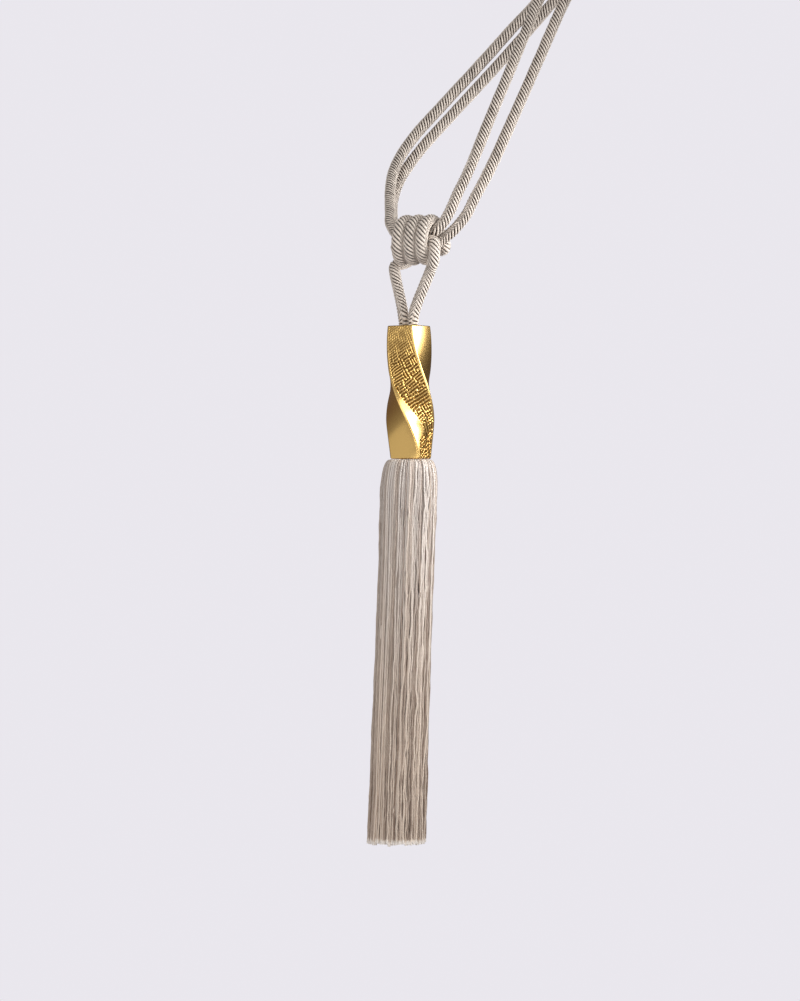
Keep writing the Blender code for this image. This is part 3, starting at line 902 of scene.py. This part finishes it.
def fibre_streaks(name):
    """Fine uneven streaks: noise on coordinates that are stretched along a yarn."""
    inputs, outputs = {"Place": "NodeSocketVector"}, {"Streak": "NodeSocketFloat"}
    tree, given, result = new_tree(name, "ShaderNodeTree", inputs, outputs)
    streak = noise(tree, given["Place"], Detail=3.0, Roughness=0.6)
    tree.links.new(streak.socket, result["Streak"])
    return tree


def hollow_shade(name):
    """Paints shade into a colour in a surface's hollows, wholly where Height is at Bottom and less up to
    Top. Open is how far each place is out of that painted shade."""
    inputs = {"Colour": "NodeSocketColor", "Hollow Colour": "NodeSocketColor"}
    inputs |= {"Height": 1.0, "Bottom": 0.0, "Top": 0.6}
    outputs = {"Colour": "NodeSocketColor", "Open": "NodeSocketFloat"}
    tree, given, result = new_tree(name, "ShaderNodeTree", inputs, outputs)
    opened = given["Height"].smoothed(given["Bottom"], given["Top"])
    colour = mixed_colour(tree, opened, given["Hollow Colour"], given["Colour"])
    tree.links.new(colour, result["Colour"])
    tree.links.new(opened.socket, result["Open"])
    return tree


SHARED_GROUPS = {"fibre_streaks": fibre_streaks, "hollow_shade": hollow_shade}


def streaks(tree, x, y, z):
    place = vector(tree, x, y, z)
    return Value(tree, place_group(tree, "fibre_streaks", {"Place": place})["Streak"])


def shade_hollows(tree, shader, colour, painted_shade_colour, height, bottom, top):
    """Gives a material its colour, with painted shade in the hollows. Returns how far each place is
    open.
    """
    inputs = {"Colour": colour, "Hollow Colour": rgba(painted_shade_colour), "Height": height}
    inputs |= {"Bottom": bottom, "Top": top}
    shaded = place_group(tree, "hollow_shade", inputs)
    tree.links.new(shaded["Colour"], shader["Base Color"])
    return Value(tree, shaded["Open"])


def attribute(tree, name):
    return Value(tree, node(tree, "ShaderNodeAttribute", attribute_name=name).outputs["Fac"])


def add_bump(tree, shader, height, distance, strength=1.0):
    inputs = {"Height": height, "Distance": distance, "Strength": strength}
    tree.links.new(output(tree, "ShaderNodeBump", inputs), shader["Normal"])


def braid_material(braid):
    """Ribbed braid: each rib a bundle of fine lustrous fibres, with painted shade between the ribs."""
    made, tree, shader = new_material(
        "ivory_braid_yarn", Roughness=0.6, Sheen_Weight=0.3, Sheen_Roughness=0.4
    )
    phase, along, _ = split(tree, output(tree, "ShaderNodeUVMap", uv_map="ribs"))
    # The fibres lie aslant in a rib, and differ from rib to rib
    streak = streaks(tree, phase * 2.5 + along * 4.0, along * 5.0, phase.math("FLOOR") * 3.1)
    # Painted shade in the grooves and along the seams between columns, made uneven by the fibres'
    # streaks
    height = attribute(tree, "height") + (streak + -0.5) * BRAID_STREAKS
    shade_hollows(tree, shader, rgba(braid.colour), braid.painted_shade_colour, height, *BRAID_OPEN)
    add_bump(tree, shader, streak, BRAID_BUMP)
    return made


def gold_material(head):
    """Plated metal: satin on two sides and the rims, and a maze of burnished lines between, with painted
    shade in its grooves.
    """
    made, tree, shader = new_material("satin_gold_plate", Metallic=1.0)
    place = split(tree, node(tree, "ShaderNodeTexCoord").outputs["Object"])
    satin = streaks(tree, *(value * GOLD_SCALE for value in place))
    grain, relief = attribute(tree, "grain"), attribute(tree, "relief")
    # The maze's grooves get painted shade; the plain sides, the rims and the polished band get none
    height = relief * grain + grain.from_one()
    opened = shade_hollows(tree, shader, rgba(head.colour), head.painted_shade_colour, height, *GOLD_OPEN)
    rough = opened.to(*GOLD_ROUGHNESS) + satin * GOLD_STREAKS
    tree.links.new(rough.socket, shader["Roughness"])
    add_bump(tree, shader, satin, *GOLD_BUMP)
    return made


def yarn_material(skirt):
    """Soft lustrous yarn, paler and cooler at the shoulder as painted light and warmer towards the cut
    ends, each yarn a little lighter or darker than the next, with the spiral of its plies, painted shade
    between the yarns and a painted highlight on the cut tips."""
    made, tree, shader = new_material(
        "cream_skirt_yarn", Roughness=0.55, Sheen_Weight=0.3, Sheen_Roughness=0.4
    )
    x, y, z = split(tree, node(tree, "ShaderNodeTexCoord").outputs["Object"])
    tone = attribute(tree, "chance")
    across, along = YARN_SCALE
    streak = streaks(tree, x * across, y * across, z * along + tone * OWN_NOISE)
    way = (z * -1.0 + SKIRT_TOP[2]) / SKIRT_LENGTH
    flecks = attribute(tree, "chance2").smoothed(*FLECK_CHANCES)
    # Painted highlight on the cut tips, where their frayed ends catch the light
    tip = attribute(tree, "tip").smoothed(0.25, 1.0)
    colour = rgba(skirt.lit_top_colour)
    # Painted light makes the shoulder paler and cooler; the cut tips take a painted highlight
    for share, other in (
        (way.smoothed(0.0, 0.9), skirt.end_colour),
        (flecks * 0.6, skirt.fleck_colour),
        (tip * 0.85, skirt.tip_highlight_colour),
    ):
        colour = mixed_colour(tree, share, colour, rgba(other))
    # Painted shade between the yarns: deepest on those inside, less on the outer ones, none at the cut
    # tips
    outside = attribute(tree, "depth").smoothed(*OUTSIDE_DEPTHS)
    height = tone * 0.9 + streak * 0.9 + outside * 0.6 + tip * 0.6
    bottom = way.to(*YARN_OPEN_FROM)
    shade_hollows(tree, shader, colour, skirt.painted_shade_colour, height, bottom, YARN_OPEN_TO)
    nx, ny, _ = split(tree, node(tree, "ShaderNodeNewGeometry").outputs["Normal"])
    plies = (ny.math("ARCTAN2", nx) * 2.0 + z * (2 * math.pi / skirt.ply_pitch)).math("SINE")
    add_bump(tree, shader, plies * 0.5 + streak, YARN_BUMP)
    return made


# ---- settings


def length_setting(name, description, default):
    unit = {"subtype": "DISTANCE", "unit": "LENGTH", "precision": 4}
    return FloatProperty(name=name, description=description, default=default, **unit)


def power_setting(name, description, default):
    return FloatProperty(name=name, description=description, default=default, subtype="POWER")


def colour_setting(name, description, default):
    unit = {"subtype": "COLOR", "size": 3, "min": 0.0, "max": 1.0}
    return FloatVectorProperty(name=name, description=description, default=default, **unit)


class BraidSettings(bpy.types.PropertyGroup):
    rib_pitch: length_setting("Rib Pitch", "Length of cord for each slanting rib", 0.0027)
    rib_depth: length_setting("Rib Depth", "Depth of the grooves between the ribs", 0.0012)
    rib_proud: length_setting("Rib Height", "How far the ribs stand out of the cord", 0.00015)
    rib_angle: FloatProperty(
        name="Rib Angle",
        description="Angle between the ribs and the cord",
        default=math.radians(54),
        subtype="ANGLE",
        unit="ROTATION",
    )
    wide_share: FloatProperty(
        name="Wide Column",
        description="Share of the cord's girth that each of its two wide columns of ribs takes",
        default=0.38,
        min=0.26,
        max=0.42,
        subtype="FACTOR",
    )
    colour: colour_setting("Colour", "Colour of the braid's ribs", (0.84, 0.745, 0.655))
    # Painted shade: the colour that the grooves between the ribs are darkened to
    painted_shade_colour: colour_setting("Hollow Colour", "Colour between the ribs", (0.05, 0.032, 0.022))


class HeadSettings(bpy.types.PropertyGroup):
    fine_pitch: length_setting("Fine Pitch", "Distance between the grain's pebbles", 0.0018)
    coarse_pitch: length_setting("Coarse Pitch", "Distance between the maze's lines", 0.0025)
    relief: length_setting("Relief", "Half the height of the maze's lines", 0.00038)
    rim_width: length_setting("Rim Width", "Width of the grained sides' upper rim", 0.0008)
    colour: colour_setting("Colour", "Colour of the plating", (0.88, 0.58, 0.20))
    # Painted shade: the colour that the maze's grooves are darkened to
    painted_shade_colour: colour_setting("Hollow Colour", "Colour in the maze's grooves", (0.16, 0.075, 0.014))


class SkirtSettings(bpy.types.PropertyGroup):
    yarns: IntProperty(name="Yarns", description="Yarns in the whole skirt", default=800, min=50)
    thickness: length_setting("Thickness", "Thickness of a yarn", 0.00145)
    uneven: length_setting("Uneven Ends", "How much the yarns' lengths differ", 0.0018)
    lock_spread: length_setting("Locks", "How far the yarns draw together in locks", 0.0015)
    wander: length_setting("Wander", "How far a yarn strays from its own line", 0.0011)
    ply_pitch: length_setting("Ply Pitch", "Length of yarn for a turn of its plies", 0.003)
    # Painted light: the shoulder's paler, cooler colour
    lit_top_colour: colour_setting("Lit Top Colour", "Colour at the shoulder", (0.81, 0.745, 0.69))
    end_colour: colour_setting("End Colour", "Colour at the cut ends", (0.85, 0.715, 0.59))
    fleck_colour: colour_setting("Fleck Colour", "Colour of the odd darker yarns", (0.56, 0.45, 0.36))
    # Painted highlight: the colour of the cut tips
    tip_highlight_colour: colour_setting("Tip Highlight Colour", "Colour of the cut tips", (0.96, 0.91, 0.85))
    # Painted shade: the colour between the yarns
    painted_shade_colour: colour_setting("Hollow Colour", "Colour between the yarns", (0.21, 0.135, 0.095))


class StageSettings(bpy.types.PropertyGroup):
    camera_distance: length_setting("Camera Distance", "From the tassel to the camera", 2.8)
    view_height: length_setting("View Height", "Height of what the camera takes in", 0.7277)
    floor_drop: length_setting("Floor Drop", "How far the floor lies under the hook", 1.0)
    window_power: power_setting("Window Light", "Power of the soft light from the right", 1.15)
    key_power: power_setting("Key Light", "Power of the soft light from the right front", 5.0)
    front_power: power_setting("Front Light", "Power of the soft light from the front", 13.0)
    sky_power: power_setting("Sky Light", "Power of the soft light from above the left", 3.0)
    fill_power: power_setting("Fill Light", "Power of the soft light from the left", 4.7)
    back_power: power_setting("Back Light", "Power of the soft light from high behind", 7.0)
    backdrop: colour_setting("Backdrop", "Colour behind and under the part", (0.82, 0.80, 0.85))
    ambient: colour_setting("Ambient", "Light from the room all round", (0.30, 0.29, 0.285))
    behind_left: colour_setting("Behind Left", "Light from behind, at the left", (0.14, 0.10, 0.075))
    behind_right: colour_setting("Behind Right", "Light from behind, at the right", (0.05, 0.036, 0.028))


SETTINGS = {
    "tieback_braid": BraidSettings,
    "tieback_head": HeadSettings,
    "tieback_skirt": SkirtSettings,
    "tieback_stage": StageSettings,
}


# ---- operators


class TIEBACK_OT_add_stage(bpy.types.Operator):
    """Adds the camera, the soft lights, the pale backdrop and the floor"""

    bl_idname = "tieback.add_stage"
    bl_label = "Add Stage"

    def execute(self, context):
        stage = context.scene.tieback_stage
        add_camera(stage)
        add_backdrop(stage)
        add_floor(stage)
        for name, *shape in LIGHTS:
            add_soft_light(name + "_light", *shape, getattr(stage, name + "_power"))
        return {"FINISHED"}


class TIEBACK_OT_add_cords(bpy.types.Operator):
    """Adds the two braided cords: the tieback's ring, and the tassel's with the barrel knot"""

    bl_idname = "tieback.add_cords"
    bl_label = "Add Cords"

    def execute(self, context):
        braid = context.scene.tieback_braid
        finish = braid_material(braid)
        tieback, tassel = tieback_route(), tassel_route()
        # The tieback cord's deeper grooves also deepen its painted groove shade, for darker shade on its
        # strands
        for name, node_name, route, rows, groove, roll, flat, lay in (
            ("braided_tieback_cord", "tieback_cord", tieback, 7, 1.25, TIEBACK_ROLL, None, "taut"),
            ("braided_tassel_cord", "tassel_cord", tassel, 9, 0.95, TASSEL_ROLL, (13, 58), "hanging"),
        ):
            cord, line, length = braided_cord(name, route, braid, rows, groove, roll, flat)
            rings = np.linspace(0, len(line) - 1, round(length * MM_PER_METRE) + 1)
            rings = rings.round().astype(int)
            cord.data.materials.append(finish)
            finish_piece(cord, "ivory_braid", node_name)
        return {"FINISHED"}


class TIEBACK_OT_add_head(bpy.types.Operator):
    """Adds the twisted metal head with its maze grain"""

    bl_idname = "tieback.add_head"
    bl_label = "Add Head"

    def execute(self, context):
        head = context.scene.tieback_head
        values = {
            "Length": HEAD_LENGTH,
            "First Turn": HEAD_TOP_TURN,
            "Twist": HEAD_TWIST,
            "End Radius": HEAD_END_RADIUS,
            "Belly Radius": HEAD_BELLY_RADIUS,
            "Top": HEAD_TOP,
            "Lean": HEAD_LEAN,
            "Relief": head.relief,
            "Material": gold_material(head),
        }
        piece = run_tree("twisted_head", twist_tree(), head_mesh(head), values)
        finish_piece(piece, "satin_gold", "head")
        return {"FINISHED"}


class TIEBACK_OT_add_skirt(bpy.types.Operator):
    """Adds the skirt of cut yarn, the yarns that show in more detail than those inside"""

    bl_idname = "tieback.add_skirt"
    bl_label = "Add Skirt"

    def execute(self, context):
        skirt = context.scene.tieback_skirt
        tree = yarn_tree()
        values = {
            "Yarns": skirt.yarns,
            "Thickness": skirt.thickness,
            "Uneven": skirt.uneven,
            "Lock Spread": skirt.lock_spread,
            "Wander": skirt.wander,
            "Top": SKIRT_TOP,
            "Lean": SKIRT_LEAN,
            "Material": yarn_material(skirt),
        }
        inner = round(INNER_SHARE * skirt.yarns)
        outer = (skirt.yarns - inner) // 2
        for name, first, every, count, segments, sides in (
            ("skirt_outer_yarns_a", inner, 2, outer, 64, 6),
            ("skirt_outer_yarns_b", inner + 1, 2, outer, 64, 6),
            ("skirt_inner_yarns", 0, 1, inner, 20, 4),
        ):
            picked = {"First": first, "Step": every, "Count": count}
            picked |= {"Segments": segments, "Sides": sides}
            blank = bpy.data.meshes.new(name)
            piece = run_tree(name, tree, blank, values | picked)
            finish_piece(piece, "cream_yarn", "skirt")
        return {"FINISHED"}


def add_camera(stage):
    data = bpy.data.cameras.new("camera")
    data.sensor_width = 36.0
    data.lens = data.sensor_width * stage.camera_distance / stage.view_height
    camera = add_object("camera", data)
    camera.location = VIEW_CENTRE + TO_ROOM * stage.camera_distance
    camera.rotation_euler = (math.pi / 2, 0.0, 0.0)
    bpy.context.scene.camera = camera


def add_soft_light(name, place, aim, size, spread, power):
    """A rectangular light that the camera doesn't see, as the table of lights says."""
    data = bpy.data.lights.new(name, "AREA")
    data.shape = "RECTANGLE"
    data.size, data.size_y = size
    data.spread = math.radians(spread)
    data.energy = power
    light = add_object(name, data)
    light.location = VIEW_CENTRE + Vector(place)
    away = Vector(place) - Vector((0.0, 0.0, aim))
    light.rotation_euler = away.to_track_quat("Z", "Y").to_euler()
    light.visible_camera = False
    light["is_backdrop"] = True


def add_backdrop(stage):
    """A pale backdrop colour all round, and softer light than that, darker from behind."""
    world = bpy.data.worlds.new("pale_backdrop")
    world.use_nodes = True
    tree = world.node_tree
    direction = node(tree, "ShaderNodeTexCoord").outputs["Generated"]
    right, towards_wall, _ = split(tree, direction)
    sides = rgba(stage.behind_left), rgba(stage.behind_right)
    behind = mixed_colour(tree, right.smoothed(-0.5, 0.5), *sides)
    behind_share = towards_wall.smoothed(-0.1, 0.85)
    room = mixed_colour(tree, behind_share, rgba(stage.ambient), behind)
    seen = node(tree, "ShaderNodeLightPath").outputs["Is Camera Ray"]
    shown = mixed_colour(tree, seen, room, rgba(stage.backdrop))
    tree.links.new(shown, tree.nodes["Background"].inputs["Color"])
    bpy.context.scene.world = world


def add_floor(stage):
    mesh = bpy.data.meshes.new("floor")
    shape = bmesh.new()
    bmesh.ops.create_circle(shape, cap_ends=True, segments=96, radius=FLOOR_RADIUS)
    shape.to_mesh(mesh)
    shape.free()
    made, _, _ = new_material("pale_floor", Base_Color=rgba(stage.backdrop), Roughness=0.9)
    mesh.materials.append(made)
    floor = add_object("floor", mesh)
    floor.location = (VIEW_CENTRE.x, VIEW_CENTRE.y, -stage.floor_drop)
    floor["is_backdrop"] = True


# ---- panel and registration


OPERATORS = (
    TIEBACK_OT_add_stage,
    TIEBACK_OT_add_cords,
    TIEBACK_OT_add_head,
    TIEBACK_OT_add_skirt,
)


class TIEBACK_PT_panel(bpy.types.Panel):
    """The tieback's settings and pieces"""

    bl_label = "Tieback"
    bl_idname = "TIEBACK_PT_panel"
    bl_space_type = "VIEW_3D"
    bl_region_type = "UI"
    bl_category = "Tieback"

    def draw(self, context):
        for name, kind in SETTINGS.items():
            settings = getattr(context.scene, name)
            box = self.layout.box()
            for setting in kind.__annotations__:
                box.prop(settings, setting)
        for operator in OPERATORS:
            self.layout.operator(operator.bl_idname)


CLASSES = (*SETTINGS.values(), *OPERATORS, TIEBACK_PT_panel)


def register():
    for made in CLASSES:
        bpy.utils.register_class(made)
    for name, kind in SETTINGS.items():
        setattr(bpy.types.Scene, name, PointerProperty(type=kind))


def unregister():
    for name in SETTINGS:
        delattr(bpy.types.Scene, name)
    for made in reversed(CLASSES):
        bpy.utils.unregister_class(made)


def main():
    register()
    bpy.context.scene.view_settings.view_transform = "Standard"
    bpy.ops.tieback.add_stage()
    bpy.ops.tieback.add_cords()
    bpy.ops.tieback.add_head()
    bpy.ops.tieback.add_skirt()
    boxes = {"cad": CAD_BOX, "visual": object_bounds()}
    boxes = {name: [list(corner) for corner in box] for name, box in boxes.items()}


if __name__ == "__main__":
    main()
